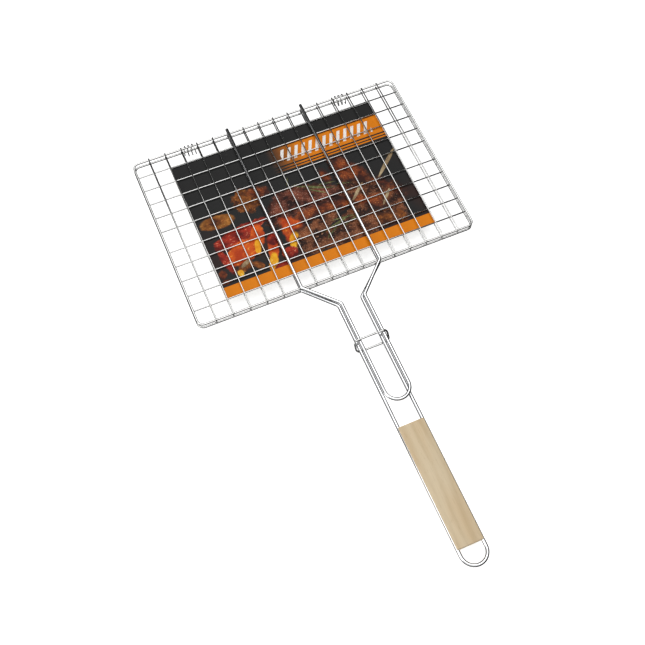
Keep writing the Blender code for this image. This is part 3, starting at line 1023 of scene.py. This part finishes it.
class BASKET_OT_wood_grip(bpy.types.Operator):
    """Shape the wooden grip with its two grooves"""

    bl_idname = "basket.wood_grip"
    bl_label = "Wooden grip"

    def execute(self, context):
        sizes = context.scene.basket_handle
        rod = half_size("lower_handle_rod").z
        centre, half = middle("wood_handle"), half_size("wood_handle")
        bpy.ops.object.select_all(action="DESELECT")
        bpy.ops.mesh.primitive_cube_add(size=2.0, location=centre, scale=half)
        obj = named("sanded_grip")
        settle()
        edit(obj)
        bpy.ops.mesh.select_all(action="SELECT")
        bpy.ops.mesh.bevel(offset=0.0007, segments=4, affect="EDGES")
        bpy.ops.object.mode_set(mode="OBJECT")
        for sign in (-1, 1):
            bpy.ops.object.select_all(action="DESELECT")
            place = (centre.x + sign * sizes.leg_half, centre.y, centre.z)
            bpy.ops.mesh.primitive_cylinder_add(vertices=32, radius=rod + 0.00008, depth=4 * half.y,
                                                location=place, rotation=(math.pi / 2, 0, 0))
            cutter = settle()
            bpy.context.view_layer.objects.active = obj
            cut = obj.modifiers.new("Groove", "BOOLEAN")
            cut.operation = "DIFFERENCE"
            cut.solver = "EXACT"
            cut.object = cutter
            bpy.ops.object.modifier_apply(modifier=cut.name)
            bpy.data.objects.remove(cutter)
        smooth(obj)
        finish_piece(obj, "wood_handle", "lower_grate", wood_material())
        return {"FINISHED"}


class BASKET_OT_printed_card(bpy.types.Operator):
    """Cut the card and print its face"""

    bl_idname = "basket.printed_card"
    bl_label = "Printed card"

    def execute(self, context):
        centre, half = middle("card_insert"), half_size("card_insert")
        bpy.ops.object.select_all(action="DESELECT")
        bpy.ops.mesh.primitive_cube_add(size=2.0, location=centre, scale=half)
        obj = named("printed_card")
        settle()
        edit(obj)
        bpy.ops.mesh.select_mode(type="EDGE")
        bpy.ops.mesh.select_all(action="DESELECT")
        bpy.ops.object.mode_set(mode="OBJECT")
        points = obj.data.vertices
        for edge in obj.data.edges:
            a, b = (points[i].co for i in edge.vertices)
            edge.select = abs(a.z - b.z) > half.z
        bpy.ops.object.mode_set(mode="EDIT")
        bpy.ops.mesh.bevel(offset=0.0015, segments=5, affect="EDGES")
        bpy.ops.object.mode_set(mode="OBJECT")
        printed = obj.data.attributes.new("printed", "FLOAT", "FACE")
        for face in obj.data.polygons:
            printed.data[face.index].value = 1.0 if face.normal.z > 0.5 else 0.0
        smooth(obj)
        finish_piece(obj, "card_insert", "card_insert", card_material())
        return {"FINISHED"}


class BASKET_OT_stage(bpy.types.Operator):
    """Lay the pale floor and set the soft lights and the camera"""

    bl_idname = "basket.stage"
    bl_label = "Stage"

    def execute(self, context):
        stage = context.scene.basket_stage
        self.floor(stage)
        self.lights()
        self.world(context.scene)
        self.camera(context.scene, stage)
        context.scene.view_settings.view_transform = "Standard"
        return {"FINISHED"}

    def floor(self, stage):
        bpy.ops.object.select_all(action="DESELECT")
        height = CAD_BOX[0][2] - stage.floor_room
        bpy.ops.mesh.primitive_plane_add(size=2 * stage.floor_half, location=(0, 0, height))
        obj = named("pale_floor")
        settle()
        material, tree, shader = new_material("pale_floor", 0.9, 0.0)
        cloud = noise(tree, object_vector(tree), 3.0, 3.0, 0.5)
        tone = blend(tree, cloud, (0.78, 0.78, 0.78, 1.0), (0.82, 0.82, 0.82, 1.0))
        mirrored = add(tree, "ShaderNodeLightPath").outputs["Is Glossy Ray"]
        feed(tree, shader.inputs["Base Color"], blend(tree, mirrored, tone, FLOOR_IN_METAL))
        glow = spread(tree, mirrored, 0.0, 1.0, FLOOR_GLOW, 0.0)
        feed(tree, shader.inputs["Emission Strength"], glow)
        shader.inputs["Emission Color"].default_value = (1.0, 1.0, 1.0, 1.0)
        shader.inputs["Specular IOR Level"].default_value = 0.1
        obj.data.materials.append(material)

    def lights(self):
        for name, place, size, power in SOFTBOXES:
            bpy.ops.object.light_add(type="AREA", location=place)
            light = bpy.context.object
            light.name = name
            light.data.size = size
            light.data.energy = power
            light.rotation_euler = (-Vector(place)).to_track_quat("-Z", "Y").to_euler()

    def world(self, scene):
        scene.world = bpy.data.worlds.new("soft_studio")
        scene.world.use_nodes = True
        tree = scene.world.node_tree
        parts = separate(tree, add(tree, "ShaderNodeTexCoord").outputs["Generated"])
        leftwards = maths(tree, "MULTIPLY_ADD", parts[0], -0.55, parts[2])
        nearwards = maths(tree, "MULTIPLY_ADD", parts[1], -0.25, leftwards)
        bright = spread(tree, nearwards, 0.42, 0.88, WORLD_DARKEST, WORLD_BRIGHTEST)
        seen = add(tree, "ShaderNodeLightPath").outputs["Is Camera Ray"]
        feed(tree, tree.nodes["Background"].inputs["Color"],
             blend(tree, seen, bright, WORLD_SEEN))

    def camera(self, scene, stage):
        level = math.cos(stage.elevation)
        forward = Vector((-level * math.sin(stage.azimuth), level * math.cos(stage.azimuth),
                          -math.sin(stage.elevation)))
        place = Vector(stage.aim) - forward * stage.distance
        turn = forward.to_track_quat("-Z", "Y") @ Quaternion((0, 0, 1), stage.roll)
        bpy.ops.object.camera_add(location=place, rotation=turn.to_euler())
        camera = bpy.context.object
        camera.name = "basket_camera"
        camera.data.sensor_width = 36.0
        camera.data.lens = stage.lens
        scene.camera = camera


class BASKET_PT_panel(bpy.types.Panel):
    """Lists what can be made"""

    bl_label = "Grill Basket"
    bl_idname = "BASKET_PT_panel"
    bl_space_type = "VIEW_3D"
    bl_region_type = "UI"
    bl_category = "Grill Basket"

    def draw(self, context):
        for operator in OPERATORS:
            self.layout.operator(operator.bl_idname)


GROUPS = {"basket_wire": BasketWireSizes, "basket_handle": BasketHandleSizes,
          "basket_coil": BasketCoilSizes, "basket_finish": BasketFinish,
          "basket_stage": BasketStage}
OPERATORS = (BASKET_OT_stage, BASKET_OT_rims, BASKET_OT_thin_wires, BASKET_OT_handle_rods,
             BASKET_OT_welds, BASKET_OT_hinge_coils, BASKET_OT_lock_ring, BASKET_OT_wood_grip,
             BASKET_OT_printed_card)


def register():
    for cls in (*GROUPS.values(), *OPERATORS, BASKET_PT_panel):
        bpy.utils.register_class(cls)
    for name, cls in GROUPS.items():
        setattr(bpy.types.Scene, name, bpy.props.PointerProperty(type=cls))


def unregister():
    for name in GROUPS:
        delattr(bpy.types.Scene, name)
    for cls in (BASKET_PT_panel, *reversed(OPERATORS), *reversed(tuple(GROUPS.values()))):
        bpy.utils.unregister_class(cls)


def main():
    register()
    bpy.ops.basket.stage()
    bpy.ops.basket.rims()
    bpy.ops.basket.thin_wires()
    bpy.ops.basket.handle_rods()
    bpy.ops.basket.welds()
    bpy.ops.basket.hinge_coils()
    bpy.ops.basket.lock_ring()
    bpy.ops.basket.wood_grip()
    bpy.ops.basket.printed_card()


if __name__ == "__main__":
    main()
